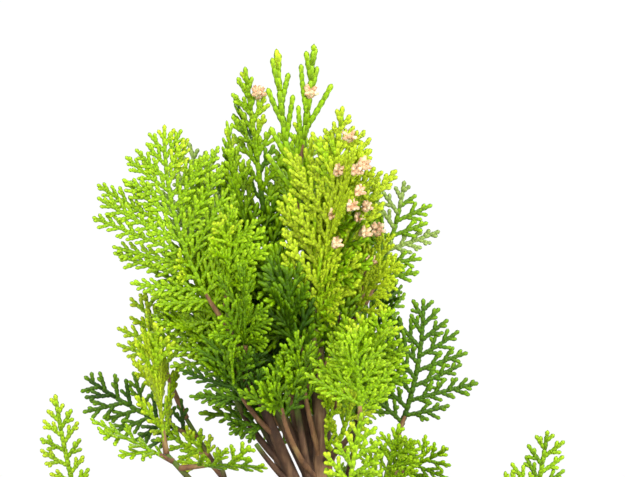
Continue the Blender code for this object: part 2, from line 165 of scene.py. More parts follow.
class Finish(Shader):
    def __init__(self, name, **fixed):
        super().__init__(bpy.data.materials.new(name), "Principled BSDF", **fixed)


# Pieces

def placed(data):
    made = bpy.data.objects.new(data.name, data)
    bpy.context.scene.collection.objects.link(made)
    return made


def settled(mesh, finishes, replaces=(), sharp=0):
    # a finished piece; where sharp is given, edges steeper than that many degrees stay crisp
    made = placed(mesh)
    for finish in finishes:
        mesh.materials.append(finish)
    mesh.shade_smooth()
    if sharp:
        mesh.set_sharp_from_angle(angle=radians(sharp))
    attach(made, "root")
    if replaces:
        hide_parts(*replaces)
    return made


def meshFrom(bm, name):
    # a finished shape's mesh, its faces pointing outwards
    bm.normal_update()
    bmesh.ops.recalc_face_normals(bm, faces=bm.faces[:])
    mesh = bpy.data.meshes.new(name)
    bm.to_mesh(mesh)
    bm.free()
    return mesh


def meshOf(name, points, loops, sizes, finishOf):
    # from arrays: corners, the corners of every face in a row, and the size and the finish of each face
    mesh = bpy.data.meshes.new(name)
    mesh.vertices.add(len(points))
    mesh.vertices.foreach_set("co", points.astype(np.float32).ravel())
    mesh.loops.add(len(loops))
    mesh.loops.foreach_set("vertex_index", loops.astype(np.int32))
    mesh.polygons.add(len(sizes))
    starts = np.concatenate([[0], np.cumsum(sizes)[:-1]])
    mesh.polygons.foreach_set("loop_start", starts.astype(np.int32))
    mesh.polygons.foreach_set("material_index", finishOf.astype(np.int32))
    mesh.update(calc_edges=True)
    return mesh


def repeated(shape, feet, axes, finishOf, name):
    # a mesh of the same small shape laid many times, on three scaled axes at each foot
    corners, faces = shape
    points = feet[:, None, :] + np.einsum("vk,nkc->nvc", corners, np.stack(axes, axis=1))
    copies = len(feet)
    loops = np.concatenate([np.array(face) for face in faces])
    allLoops = (loops[None, :] + np.arange(copies)[:, None] * len(corners)).ravel()
    sizes = np.tile([len(face) for face in faces], copies)
    return meshOf(name, points.reshape(-1, 3), allLoops, sizes, np.repeat(finishOf, len(faces)))


def arraysOf(bm):
    bmesh.ops.recalc_face_normals(bm, faces=bm.faces[:])
    corners = np.array([tuple(v.co) for v in bm.verts])
    faces = [[v.index for v in f.verts] for f in bm.faces]
    bm.free()
    return corners, faces


def units(rows):
    return rows / np.linalg.norm(rows, axis=1)[:, None]


def firstRing(bm, sides):
    # a closed ring of vertices, capped
    ring = list(bmesh.ops.create_circle(bm, cap_ends=False, segments=sides, radius=1)["verts"])
    edges = list(dict.fromkeys(e for v in ring for e in v.link_edges))
    bmesh.ops.contextual_create(bm, geom=edges)
    return ring, edges


def nextRing(bm, ring, edges):
    # the ring extruded from the last, its vertices in the same order
    made = bmesh.ops.extrude_edge_only(bm, edges=edges)["geom"]
    fresh = {v for v in made if isinstance(v, bmesh.types.BMVert)}
    edges = [e for e in made if isinstance(e, bmesh.types.BMEdge) and set(e.verts) <= fresh]
    above = {}
    for e in [e for v in fresh for e in v.link_edges if not set(e.verts) <= fresh]:
        low, high = e.verts if e.verts[1] in fresh else reversed(e.verts)
        above[low] = high
    return [above[v] for v in ring], edges


# Pot

pot = {
    "length": 124 * mm, "width": 94 * mm, "height": 50 * mm,
    "foot": 13 * mm, "rim": 6 * mm, "wall": 5 * mm, "floor": 6 * mm,
    "power": 4.5, "sides": 144,  # the higher the power, the squarer the corners
    "drainRadius": 5 * mm, "drainSpacing": 56 * mm, "drainSides": 40,
    # its profile in mm, from the base up and over the rim
    "footRows": [  # height, and how far out from the foot
        (0, -0.6), (0.5, -0.1), (1.2, 0), (5, 1), (5.7, 1.6), (6.4, 2.9), (7, 3.5), (16, 5), (29, 7.2),
    ],
    # height from the rim's underside, then from the top, and inset, past the wall in the last rows
    "rimRows": [(-2.2, 3.75), (-1.6, 3.4), (-1, 1.9), (-0.3, 0.75), (0.8, 0.35)],
    "lipRows": [(-2, 0.05), (-1, 0.15), (-0.35, 0.6), (0, 1.5)],
    "innerRows": [(0, 0.3), (-0.4, 1.1), (-1.4, 1.6), (-6, 3.4)],
    "dark": (0.115, 0.058, 0.038), "light": (0.2, 0.108, 0.072), "speck": (0.27, 0.17, 0.12, 1),
}


def oblong(turn, inset):
    a, b = pot["length"] / 2 - inset, pot["width"] / 2 - inset
    c, s = cos(turn), sin(turn)
    power = 2 / pot["power"]
    return copysign(abs(c) ** power, c) * a, copysign(abs(s) ** power, s) * b


def oblongBody(levels, sides):
    # rings of a rounded oblong, each with a height and an inset, closed at both ends
    bm = bmesh.new()
    ring, edges = firstRing(bm, sides)
    for level, (height, inset) in enumerate(levels):
        if level:
            ring, edges = nextRing(bm, ring, edges)
        for side, vert in enumerate(ring):
            vert.co = (*oblong(2 * pi * side / sides, inset), height)
    bmesh.ops.contextual_create(bm, geom=edges)
    return bm


def clayFinish():
    clay = Finish("firedClay", Roughness=0.62)
    place = clay.place()
    cloud = clay.grain(place, 38, 4)
    speck = clay.grain(place, 900, 2, 0.7)
    drag = clay.grain(clay.place((30, 30, 900)), 1, 3)
    tone = clay.ramp(cloud, (0.3, pot["dark"]), (0.7, pot["light"]))
    tone = clay.blend(clay.ramp(speck, (0.58, (0, 0, 0)), (0.7, (1, 1, 1))), tone, pot["speck"])
    relief = clay.bump(speck * 0.5 + drag * 0.8 + cloud * 0.4, 0.25 * mm, 0.7)
    return clay.wear(Base_Color=tone, Roughness=0.5 + cloud * 0.3, Normal=relief)


def makePot():
    foot, rim, wall, height = pot["foot"], pot["rim"], pot["wall"], pot["height"]
    levels = [(up * mm, foot - out * mm) for up, out in pot["footRows"]]
    levels += [(height - rim + up * mm, inset * mm) for up, inset in pot["rimRows"]]
    levels += [(height + up * mm, inset * mm) for up, inset in pot["lipRows"]]
    levels += [(height + up * mm, wall + inset * mm) for up, inset in pot["innerRows"]]
    levels.append((pot["floor"], foot + wall))
    body = meshFrom(oblongBody(levels, pot["sides"]), "potBody")
    made = settled(body, [clayFinish()], ["pot"], 50)
    for side in (-1, 1):
        drill = bmesh.new()
        spot = Matrix.Translation((side * pot["drainSpacing"] / 2, 0, pot["floor"] / 2))
        bmesh.ops.create_cone(drill, cap_ends=True, segments=pot["drainSides"], radius1=pot["drainRadius"],
                              radius2=pot["drainRadius"], depth=pot["floor"] * 2, matrix=spot)
        cutter = placed(meshFrom(drill, "drill"))
        cut = made.modifiers.new("drain", "BOOLEAN")
        cut.operation, cut.object = "DIFFERENCE", cutter
        graph = bpy.context.evaluated_depsgraph_get()
        made.data = bpy.data.meshes.new_from_object(made.evaluated_get(graph))
        made.modifiers.clear()
        bpy.data.objects.remove(cutter, do_unlink=True)
    made.data.set_sharp_from_angle(angle=radians(50))
    print("pot made")


# Soil

soil = {
    "top": 46.5 * mm, "edge": 44 * mm, "inset": 9 * mm,
    "level": 0.3, "fall": 1.3,  # level out to this share of the way, then falling by this power
    "rough": 0.5 * mm, "lumps": 160, "sunk": 0.35 * mm,
    "sides": 160, "rings": 31, "ringGap": 1.15 * mm,
    "grains": 2600, "grainSizes": (0.5, 1.7), "clear": 11 * mm, "seed": 3,
    "shares": [0.55, 0.37, 0.08],  # of dark, brown and pale grains
}
earths = {  # dark tone, light tone, scale of the crumbs
    "soilEarth": ((0.03, 0.017, 0.01), (0.115, 0.07, 0.042), 420),
    "grainDark": ((0.03, 0.018, 0.012), (0.09, 0.055, 0.035), 900),
    "grainBrown": ((0.08, 0.045, 0.025), (0.19, 0.11, 0.06), 900),
    "grainPale": ((0.16, 0.12, 0.085), (0.32, 0.26, 0.19), 900),
}


def earthFinish(name):
    dark, light, scale = earths[name]
    earth = Finish(name, Roughness=0.95)
    crumbs = earth.grain(earth.place(), scale, 4, 0.65)
    patches = earth.grain(earth.place(), 60, 2)
    tone = earth.ramp(crumbs * 0.6 + patches * 0.4, (0.35, dark), (0.65, light))
    return earth.wear(Base_Color=tone, Normal=earth.bump(crumbs, 0.5 * mm, 0.9))


def soilHeight(x, y):
    # highest in the middle, level under the trunk, and lumpy everywhere else
    a, b = pot["length"] / 2 - soil["inset"], pot["width"] / 2 - soil["inset"]
    slope = max(0.0, (min(1.0, hypot(x / a, y / b)) - soil["level"]) / (1 - soil["level"]))
    lumps = noise.fractal(Vector((x, y, 0)) * soil["lumps"], 1.0, 2.0, 3) * soil["rough"]
    fall = (soil["top"] - soil["edge"]) * slope ** soil["fall"]
    return soil["top"] - fall - soil["sunk"] * min(1, slope * 6) + lumps * min(1, slope * 5)


def makeSoil():
    foot, wall, rim = pot["foot"], pot["wall"], pot["rim"]
    # the soil's side leans as the pot's inner wall does
    lean = (foot - rim + 1.6 * mm) / (pot["height"] - rim - pot["floor"])
    side = foot + wall - lean * (soil["edge"] - pot["floor"]) + 0.4 * mm
    levels = [(pot["floor"] + 0.3 * mm, foot + wall + 0.3 * mm), (soil["edge"] - 1.2 * mm, side + 0.4 * mm)]
    levels += [(0, side + 0.5 * mm + ring * soil["ringGap"]) for ring in range(soil["rings"])]
    bm = oblongBody(levels, soil["sides"])
    for vert in bm.verts:
        if vert.co.z == 0:  # a ring of the surface
            vert.co.z = soilHeight(vert.co.x, vert.co.y)
    settled(meshFrom(bm, "soilBed"), [earthFinish("soilEarth")], ["soil"])
    dice = random.Random(soil["seed"])
    a, b = pot["length"] / 2 - side - 2 * mm, pot["width"] / 2 - side - 2 * mm
    spots = []
    while len(spots) < soil["grains"]:
        x, y = dice.uniform(-1, 1) * a, dice.uniform(-1, 1) * b
        if abs(x / a) ** pot["power"] + abs(y / b) ** pot["power"] < 1 and hypot(x, y) > soil["clear"]:
            spots.append((x, y, soilHeight(x, y)))
    grain = bmesh.new()
    bmesh.ops.create_icosphere(grain, subdivisions=1, radius=0.5)
    for vert in grain.verts:
        vert.co *= 1 + 0.22 * noise.noise(vert.co * 9)
    chance = np.random.default_rng(soil["seed"])
    size = chance.uniform(*soil["grainSizes"], len(spots))[:, None] ** 1.2 * mm
    turn = chance.normal(size=(len(spots), 2, 3))
    first = units(turn[:, 0])
    second = units(np.cross(first, turn[:, 1]))
    axes = [first * size, second * size * 0.8, np.cross(first, second) * size * 1.1]
    look = chance.choice(3, len(spots), p=soil["shares"])
    mesh = repeated(arraysOf(grain), np.array(spots) + np.array([0, 0, 0.1 * mm]), axes, look, "soilGrains")
    finishes = [earthFinish(name) for name in ("grainDark", "grainBrown", "grainPale")]
    settled(mesh, finishes, sharp=40)
    print("soil made")


# Trunk and boughs

trunk = {  # mm from its foot, which stands just above the soil
    "foot": 46.8 * mm,
    "line": [(0, 0, 0), (-3, 0.5, 28), (-1.5, 1, 64), (2, 0.5, 98), (3.2, 0, 132), (1.6, 0, 160),
             (-0.6, 0, 185), (-2.8, 0, 207)],
    "radii": [8.2, 6.4, 5.6, 4.6, 2.3, 1.8, 1.2, 0.7],
    "flare": 5.0, "flareRise": 9.0, "roots": 5,
    "sides": 56, "ringGap": 0.9 * mm,
}
boughs = {  # parent, share of the way up it, bearing, rise, lift, length, foot radius, tip radius
    "left_leader": ("trunk", 0.53, 197, 65, 5, 66, 2.2, 1.3),
    "rear_leader": ("trunk", 0.545, 137, 71, 7, 68, 2.1, 1),
    "bough_left_low": ("trunk", 0.39, 186, 62, -16, 64, 1.9, 1),
    "bough_far_left": ("trunk", 0.3, 174, 26, 28, 75, 2.1, 1),
    "bough_left_rear": ("trunk", 0.46, 161, 44, 14, 58, 1.7, 0.9),
    "bough_right_low": ("trunk", 0.425, 3, 54, 24, 53, 1.6, 0.9),
    "bough_far_right": ("trunk", 0.33, -2, 22, 28, 71, 2.0, 1),
    "bough_right_rear": ("trunk", 0.74, 27, 50, 4, 22, 1.1, 0.7),
    "bough_front_right": ("trunk", 0.625, 298, 26, 10, 24, 1.2, 0.8),
    "bough_front_low": ("trunk", 0.36, 277, 18, 26, 50, 1.9, 1),
    "bough_front_left": ("trunk", 0.3, 228, 18, 20, 46, 1.9, 1),
    "bough_front_right_low": ("trunk", 0.31, 318, 16, 20, 45, 1.9, 1),
    "bough_back_low": ("trunk", 0.32, 84, 16, 22, 46, 1.9, 1),
    "bough_back_left": ("trunk", 0.505, 128, 48, 16, 46, 1.6, 0.9),
    "bough_back_right": ("trunk", 0.49, 64, 46, 20, 48, 1.7, 0.9),
    "bough_back_mid": ("trunk", 0.6, 94, 40, 24, 34, 1.3, 0.8),
    "bough_back_left_low": ("trunk", 0.27, 138, 18, 22, 50, 1.9, 1),
    "bough_back_right_low": ("trunk", 0.28, 38, 18, 22, 50, 1.9, 1),
}
innerStems = [  # thin stems inside the crown, in the same columns
    ("trunk", 0.585, 196, 60, 6, 28, 2.1, 1.5), ("trunk", 0.56, 186, 52, 10, 31, 1.2, 0.8),
    ("left_leader", 0.2, 200, 42, 12, 18, 0.9, 0.6), ("trunk", 0.6, 150, 70, 10, 34, 1.1, 0.8),
    ("trunk", 0.54, 222, 74, 4, 36, 1.1, 0.8), ("left_leader", 0.3, 176, 40, 26, 24, 1, 0.7),
    ("bough_left_low", 0.5, 150, 70, 0, 24, 0.9, 0.6),
]


boughStyle = {"sides": 16, "ringGap": 1.1 * mm, "taper": 0.4, "stemSides": 12}
barks = {  # dark, mid and light tones, stretch of the grain, and the share of a limb where it turns green
    # the trunk's tones are painted lighter than the boughs', as painted light on the lit trunk and painted
    # shade on the boughs inside the crown
    "trunkBark": ((0.022, 0.011, 0.005), (0.12, 0.06, 0.026), (0.32, 0.19, 0.09), (1, 1, 0.16), 0.78),
    "boughBark": ((0.022, 0.01, 0.005), (0.068, 0.03, 0.013), (0.16, 0.085, 0.04), (1, 1, 0.3), 0.85),
    "twigBark": ((0.07, 0.03, 0.014), (0.19, 0.09, 0.035), (0.3, 0.2, 0.07), (1, 1, 0.4), 2.0),
}
youngBark = (0.075, 0.13, 0.008, 1)


def barkFinish(name):
    dark, mid, light, stretch, greenFrom = barks[name]
    bark = Finish(name, Roughness=0.85)
    strips = bark.grain(bark.place(stretch), 420, 5, 0.6)
    patches = bark.grain(bark.place(), 120, 3)
    flakes = bark.grain(bark.place((1, 1, 0.5)), 1400, 3, 0.7)
    tone = bark.ramp(strips * 0.65 + patches * 0.35, (0.36, dark), (0.5, mid), (0.66, light))
    young = bark.smoothStep(bark.part("UV", "Y") + strips * 0.25, greenFrom, greenFrom + 0.3)
    tone = bark.blend(young, tone, youngBark)
    relief = bark.bump(strips + flakes * 0.35, 0.6 * mm, 0.8)
    return bark.wear(Base_Color=tone, Roughness=0.7 + patches * 0.25, Normal=relief)


def ringNoise(turn, around, along):
    return noise.noise(Vector((cos(turn) * around, sin(turn) * around, along)))


def barkRelief(point, turn, radius, along):
    # long ridges that wander up the limb, broken by cross cracks
    sway = noise.noise(point * 55) * 0.8
    ridge, crack = ringNoise(turn + sway, 2.4, along * 42), ringNoise(turn, 6, along * 150)
    return radius * (0.085 * ridge + 0.045 * crack)


def limbTube(bm, line, radii, sides, swell=None, relief=1.0):
    # a closed tapering tube, extruded ring by ring along its line; its UV is the share of the way up
    layer = bm.loops.layers.uv.verify()
    shares = {}
    ring, edges = firstRing(bm, sides)
    across = Vector((1, 0, 0)) if abs((line[1] - line[0]).normalized().x) < 0.9 else Vector((0, 1, 0))
    walked = 0.0
    for k, (centre, radius) in enumerate(zip(line, radii)):
        ahead = (line[min(k + 1, len(line) - 1)] - line[max(k - 1, 0)]).normalized()
        if k == 0 and swell:
            ahead = Vector((0, 0, 1))  # the trunk's foot is cut level
        across = (across - ahead * across.dot(ahead)).normalized()
        up = ahead.cross(across)
        if k:
            walked += (centre - line[k - 1]).length
            ring, edges = nextRing(bm, ring, edges)
        for side, vert in enumerate(ring):
            turn = 2 * pi * side / sides
            reach = radius + (swell(centre.z - line[0].z, turn) if swell else 0)
            reach += barkRelief(centre, turn, reach, walked) * relief
            vert.co = centre + (across * cos(turn) + up * sin(turn)) * reach
            shares[vert] = (side / sides, k / (len(line) - 1))
    bmesh.ops.contextual_create(bm, geom=edges)
    for vert, spot in shares.items():
        for loop in vert.link_loops:
            loop[layer].uv = spot


def woodPiece(bm, name, finish, replaces=()):
    settled(meshFrom(bm, name), [barkFinish(finish)], replaces)


def rootSwell(height, turn):
    fade = exp(-height / (trunk["flareRise"] * mm))
    lobes = 0.6 + 0.4 * cos(trunk["roots"] * turn + 0.7)
    return trunk["flare"] * mm * fade * lobes


def spanned(line, radii, step):
    # the same limb with rings a step apart
    spans = [(b - a).length for a, b in zip(line, line[1:])]
    count = max(4, round(sum(spans) / step))
    places = np.concatenate([[0], np.cumsum(spans)]) / sum(spans)
    fine = [pointAt(line, k / count) for k in range(count + 1)]
    thick = np.interp(np.arange(count + 1) / count, places, radii)
    return fine, list(thick)


def makeLimbs():
    points = [Vector((x * mm, y * mm, trunk["foot"] + z * mm)) for x, y, z in trunk["line"]]
    limbs = {"trunk": [point for point, _ in smoothLine(points, 2)]}
    smooth = smoothLine(points, 14)
    thick = np.interp([p for _, p in smooth], range(len(trunk["radii"])), trunk["radii"]) * mm
    bm = bmesh.new()
    fine, width = spanned([p for p, _ in smooth], thick, trunk["ringGap"])
    limbTube(bm, fine, width, trunk["sides"], rootSwell)
    woodPiece(bm, "trunkWood", "trunkBark", ["trunk"])
    bm = bmesh.new()
    for name, (parent, share, bearing, rise, lift, length, foot, tip) in boughs.items():
        limbs[name] = grownLine(pointAt(limbs[parent], share), bearing, rise, lift, length * mm, 4)
        curve = [p for p, _ in smoothLine(limbs[name], 8)]
        places = np.linspace(0, 1, len(curve))
        thick = (foot + (tip - foot) * places) * mm * (1 - boughStyle["taper"] * places)
        fine, width = spanned(curve, thick, boughStyle["ringGap"])
        limbTube(bm, fine, width, boughStyle["sides"])
    for parent, share, bearing, rise, lift, length, foot, tip in innerStems:
        curve = grownLine(pointAt(limbs[parent], share), bearing, rise, lift, length * mm, 30)
        limbTube(bm, curve, np.linspace(foot, tip, len(curve)) * mm, boughStyle["stemSides"])
    woodPiece(bm, "boughWood", "boughBark", list(boughs))
    print("trunk and boughs made")
    return limbs


# Foliage: every fan is a stem, sprays on both sides of it, side shoots on each spray and buds on those

seed = 11
ribbon = {  # a branchlet clad in scale leaves, two rings to each pair of scales
    "thick": 0.58, "narrow": 0.76, "thin": 0.8, "tip": 0.62,  # shares of its width
    "second": 0.7, "short": 0.04, "point": 0.18,  # shares of the pitch
    "sunk": 0.25 * mm,
}
# in mm and degrees; gaps are between neighbours on one side, and splays are from the parent
formParts = ("width", "pitch", "sprayGap", "shootGap", "splay", "shootSplay", "longest", "slope", "lean",
             "sides")
forms = {
    "whip": (1.75, 2.3, 10, 30, (26, 16), (20, 30), 3, 0.62, (8, 16), 6),
    "upright": (1.45, 1.6, 4.6, 3.4, (44, 28), (30, 42), 4.2, 0.62, (8, 22), 6),
    "open": (1.35, 1.42, 4.2, 3.3, (64, 40), (40, 52), 4.4, 0.72, (24, 46), 6),
    "full": (1.22, 1.35, 3.5, 2.7, (60, 36), (38, 48), 4.2, 0.72, (20, 40), 6),
    "light": (1.55, 2.0, 4.6, 3.6, (62, 38), (40, 50), 5, 0.72, (24, 50), 4),
}
forms = {name: dict(zip(formParts, values)) for name, values in forms.items()}
tints = {  # from shaded to sunlit; the outermost scales of a shoot take the next tint up
    "leafDark": (0.024, 0.07, 0),
    "leafDeep": (0.052, 0.125, 0),
    "leafMid": (0.105, 0.215, 0),
    "leafFresh": (0.18, 0.33, 0),
    "leafLime": (0.25, 0.41, 0.004),
    "leafSun": (0.36, 0.48, 0.012),
    "leafPale": (0.21, 0.3, 0.06),
}
sunlit = list(tints).index("leafSun")

# each piece of foliage is a few fans, and lesser sprays that fill the crown: limb, share of the way up it,
# bearing, rise, lift, reach, spread, twist, fold, bare share, tints from foot to tip, side fans, form
# the tints paint light and shade: the darkest paint the shade deep in the crown and at its back, the sunlit
# ones the lit outside, and most fans run from darker at the foot, inside the crown, to lighter at the tip
fans = {}
fans["leavesApex"] = {
    "fan_apex_right": ("trunk", 1, 0, 80, 6, 31, 5, 10, 20, 0.1, (3, 3), 0, "whip"),
    "fan_apex_left": ("trunk", 0.9, 180, 75, 12, 51, 5, 0, 20, 0.15, (3, 3, 4), 0, "whip"),
    "leaderShoot": ("trunk", 0.85, 210, 88, 4, 38, 6, 0, 20, 0.05, (4, 4), 0, "whip"),
    "leaderLow": ("trunk", 0.8, 268, 82, 8, 34, 6, 20, 20, 0.05, (4, 4), 0, "whip"),
    "fan_crown_left": ("rear_leader", 1, 180, 84, -2, 55, 7, 0, 25, 0.15, (1, 1, 3, 4, 5), 1, "upright"),
    "fan_crown_left_edge": ("rear_leader", 0.7, 190, 70, 12, 62, 8, 50, 20, 0.3, (1, 2, 3, 4), 2, "upright"),
}
fans["leavesCrest"] = {
    "fan_crest": ("trunk", 0.78, -50, 80, 0, 61, 15, 55, 30, 0.05, (5, 5, 4), 5, "upright"),
    "fan_right_mid": ("trunk", 0.69, -24, 38, 34, 34, 11, 24, 15, 0.2, (2, 3, 4), 4, "full"),
    "fan_rear_right": ("bough_right_rear", 1, 2, 62, 20, 34, 12, 0, 8, 0.15, (2, 6), 0, "open"),
    "budShoot": ("bough_right_rear", 0.9, 20, 82, 0, 36, 4, 0, 20, 0.3, (3, 4), 0, "whip"),
    "rightInner": ("trunk", 0.78, 300, 74, 8, 27, 9, 10, 20, 0.1, (4, 4, 5), 2, "full"),
    "crestLow": ("bough_right_rear", 0.7, 322, 54, 18, 27, 10, 0, 20, 0.1, (5, 5, 5), 2, "full"),
}
fans["leavesCrownRear"] = {
    "fan_crown_rear_left": ("rear_leader", 0.52, 158, 59, 14, 73, 12, 24, 12, 0.4, (3, 6), 2, "open"),
    "fan_crown_rear": ("rear_leader", 0.78, 66, 64, 26, 58, 11, -60, 20, 0.25, (2, 3, 3, 4), 3, "upright"),
    "fan_crown_back_right": ("trunk", 0.8, 54, 54, 24, 46, 12, -30, 20, 0.3, (2, 3), 2, "open"),
    "heartDeep": ("rear_leader", 0.45, 200, 70, 10, 40, 12, -10, 20, 0.15, (0, 0, 1), 3, "upright"),
}
fans["leavesHeart"] = {
    "fan_heart": ("trunk", 0.72, 210, 60, 22, 40, 9, -40, 25, 0.25, (0, 1, 2), 3, "upright"),
    "fan_heart_rear": ("rear_leader", 0.3, 176, 44, 30, 36, 11, 0, 15, 0.35, (0, 1), 3, "full"),
    "fan_front_centre": ("trunk", 0.6, 226, 34, 60, 39, 12, -40, 20, 0.6, (1, 2, 2), 2, "full"),
    "fan_left_centre": ("left_leader", 0.45, 208, 38, 44, 34, 12, -40, 18, 0.34, (0, 1, 2, 3), 4, "full"),
    "heartFront": ("trunk", 0.62, 236, 64, 14, 38, 9, -20, 25, 0.5, (1, 2, 3), 3, "full"),
    "trunkSpray": ("trunk", 0.63, 292, 72, 4, 22, 7, 10, 20, 0.1, (3, 4, 4), 2, "full"),
    "massFoot": ("left_leader", 0.48, 190, 14, 0, 13, 6, 30, 20, 0.1, (0, 1), 2, "full"),
}
fans["leavesLeft"] = {
    "fan_left": ("left_leader", 0.85, 186, 50, 42, 60, 18, 0, 12, 0.18, (3, 3, 4), 0, "full"),
    "fan_left_front": ("left_leader", 1, 310, 84, 2, 26, 11, 25, 18, 0.1, (3, 3, 4), 3, "full"),
    "fan_left_edge": ("bough_left_rear", 1, 190, 64, 16, 36, 9.5, -10, 15, 0.3, (4, 4, 5), 2, "open"),
    "leftInner": ("left_leader", 0.72, 172, 52, 20, 42, 13, 0, 20, 0.15, (3, 3, 4), 3, "full"),
    "leftInnerLow": ("left_leader", 0.62, 176, 40, 20, 38, 11, 10, 20, 0.3, (2, 3, 3), 2, "full"),
    "leftFront": ("left_leader", 0.78, 270, 52, 30, 28, 12, 30, 20, 0.1, (1, 2, 2), 2, "full"),
}
fans["leavesRight"] = {
    "fan_right": ("bough_right_low", 1, 0, 67, 24, 37, 15, 0, 6, 0.1, (0, 1, 1, 1), 0, "open"),
    "fan_front_right": ("bough_front_right", 1, 180, 86, 0, 25, 15, 0, 15, 0.1, (3, 3, 4), 4, "full"),
    "fan_right_low": ("bough_right_low", 0.8, -30, 20, 10, 20, 8, 20, 18, 0.2, (2, 3), 0, "full"),
    "fan_right_front": ("bough_right_low", 0.5, 296, 48, 20, 36, 9, 40, 20, 0.3, (3, 3), 1, "full"),
    "heartRight": ("trunk", 0.66, 330, 62, 14, 34, 9, 30, 25, 0.25, (3, 3, 4), 3, "full"),
    "rightUnder": ("trunk", 0.6, 318, 60, 10, 28, 7, 20, 25, 0.3, (4, 5), 0, "open"),
}
fans["leavesLeftLow"] = {
    "fan_left_low": ("bough_left_low", 1, 196, 82, 0, 38, 11, 60, 25, 0.1, (4, 5), 2, "upright"),
    "fan_left_rear": ("bough_left_rear", 0.9, 178, 20, 16, 34, 9, 0, 15, 0.1, (0, 1), 0, "open"),
    "fan_left_low_outer": ("bough_left_low", 0.96, 190, 26, 4, 24, 5, 60, 18, 0.1, (3, 3), 2, "open"),
    "fan_left_low_inner": ("bough_left_low", 0.92, 342, 10, -16, 24, 6, 60, 18, 0.2, (2, 3), 1, "open"),
    "bandUpper": ("bough_left_rear", 0.8, 182, 20, 24, 17, 6, 0, 18, 0.1, (3, 4), 0, "full"),
    "bandInner": ("bough_left_rear", 0.68, 170, 44, 16, 15, 6, 0, 18, 0.2, (3, 4), 0, "full"),
}
fans["leavesBack"] = {
    "fan_back_left": ("bough_back_left", 1, 138, 70, 12, 44, 14, 10, 18, 0.1, (1, 2), 2, "open"),
    "fan_back_right": ("bough_back_right", 1, 60, 74, 8, 44, 14, -10, 18, 0.1, (1, 2), 2, "open"),
    "fan_back_mid": ("bough_back_mid", 1, 92, 66, 14, 46, 13, 20, 18, 0.1, (1, 2), 2, "open"),
}
fans["leavesCrownMore"], fans["leavesSkirtMore"] = {}, {}  # dealt out by thicken
fans["leavesFar"] = {
    "fan_far_left": ("bough_far_left", 1, 180, 72, 10, 38, 7, 0, 15, 0.12, (3, 4), 0, "open"),
    "fan_far_right": ("bough_far_right", 1, -4, 76, 6, 29, 8, 0, 15, 0.1, (2, 3), 0, "open"),
    "fan_front_low": ("bough_front_low", 1, 340, 80, 0, 47, 10, 20, 20, 0.1, (2, 3, 4), 0, "open"),
}
fans["leavesFrontLow"] = {
    "fan_front_left": ("bough_front_left", 1, 222, 30, 34, 44, 19, 20, 22, 0.1, (2, 3), 4, "light"),
    "fan_front_right_low": ("bough_front_right_low", 1, 322, 30, 34, 44, 19, -20, 22,
        0.1, (2, 3), 4, "light"),
    "fan_low_left": ("trunk", 0.24, 198, 14, 34, 52, 17, 30, 20, 0.3, (2, 3), 4, "light"),
    "fan_low_right": ("trunk", 0.25, 346, 14, 34, 52, 17, -30, 20, 0.3, (2, 3), 4, "light"),
}
fans["leavesBackLow"] = {
    "fan_back_low": ("bough_back_low", 1, 88, 32, 34, 50, 19, 30, 22, 0.1, (2, 3), 4, "light"),
    "fan_back_left_low": ("bough_back_left_low", 1, 142, 34, 36, 52, 19, 0, 20, 0.1, (2, 3), 4, "light"),
    "fan_back_right_low": ("bough_back_right_low", 1, 34, 34, 36, 52, 19, 0, 20, 0.1, (2, 3), 4, "light"),
    "fan_low_back": ("trunk", 0.23, 108, 14, 34, 52, 17, 30, 20, 0.3, (2, 3), 4, "light"),
}

thicket = {  # limb: share from, share to, how many more sprays grow there
    "crown": {
        "trunk": (0.64, 0.9, 7), "rear_leader": (0.35, 0.95, 5), "left_leader": (0.6, 1, 3),
        "bough_back_left": (0.55, 1, 4), "bough_back_right": (0.5, 1, 4),
        "bough_back_mid": (0.5, 1, 4), "bough_right_rear": (0.3, 1, 2), "bough_left_rear": (0.6, 0.9, 2),
    },
    "skirt": {
        "trunk": (0.2, 0.36, 8), "bough_front_low": (0.35, 0.75, 4),
        **{f"bough_{side}": (0.4, 1, 5) for side in (
            "front_left", "front_right_low", "back_low", "back_left_low", "back_right_low")},
        "bough_far_left": (0.25, 0.7, 4), "bough_far_right": (0.25, 0.7, 4),
    },
}
crownEdge = [  # height, left and right limits of the crown as seen from the front, mm
    (203, -20, 14), (210, -29, 18), (225, -37, 15), (245, -40, 14), (255, -30, 9), (262, -19, 7),
    (270, -15, 2), (280, -5, 2),
]
crownDepth = (-8 * mm, 46 * mm)
skirtTop, skirtRadius = 160 * mm, 66 * mm


def roomFor(point, level):
    # whether a spray may end here and leave open the gaps round the crown
    if level == "skirt":
        return point.z < skirtTop and hypot(point.x, point.y) < skirtRadius
    near = studio["distance"] / (studio["distance"] + point.y)
    x, z = point.x / mm * near, (studio["aim"][2] + (point.z - studio["aim"][2]) * near) / mm
    heights, left, right = zip(*crownEdge)
    inside = np.interp(z, heights, left) < x < np.interp(z, heights, right)
    return heights[0] < z < heights[-1] and inside and crownDepth[0] < point.y < crownDepth[1]


def thicken(level, limbs):
    # more light sprays, dealt along the limbs, each turned until it finds room
    dice = random.Random(f"{seed} {level}")
    found = {}
    for limb, (low, high, count) in thicket[level].items():
        for j in range(count):
            share = low + (high - low) * (j + 0.5) / count
            start = pointAt(limbs[limb], share)
            for _ in range(12):
                bearing = dice.uniform(0, 360) if limb == "trunk" else \
                    boughs[limb][2] + dice.choice((-1, 1)) * dice.uniform(25, 95)
                rise, lift, reach = dice.uniform(20, 62), dice.uniform(6, 26), dice.uniform(24, 34)
                if roomFor(start + heading(bearing, rise + lift / 2) * reach * mm, level):
                    spread, twist = dice.uniform(11, 15), dice.uniform(-60, 60)
                    found[f"{level}{limb}{j}"] = (limb, share, bearing, rise, lift, reach, spread, twist,
                                                  22, 0.15, (2, 2, 3), 1, "light")
                    break
    return found


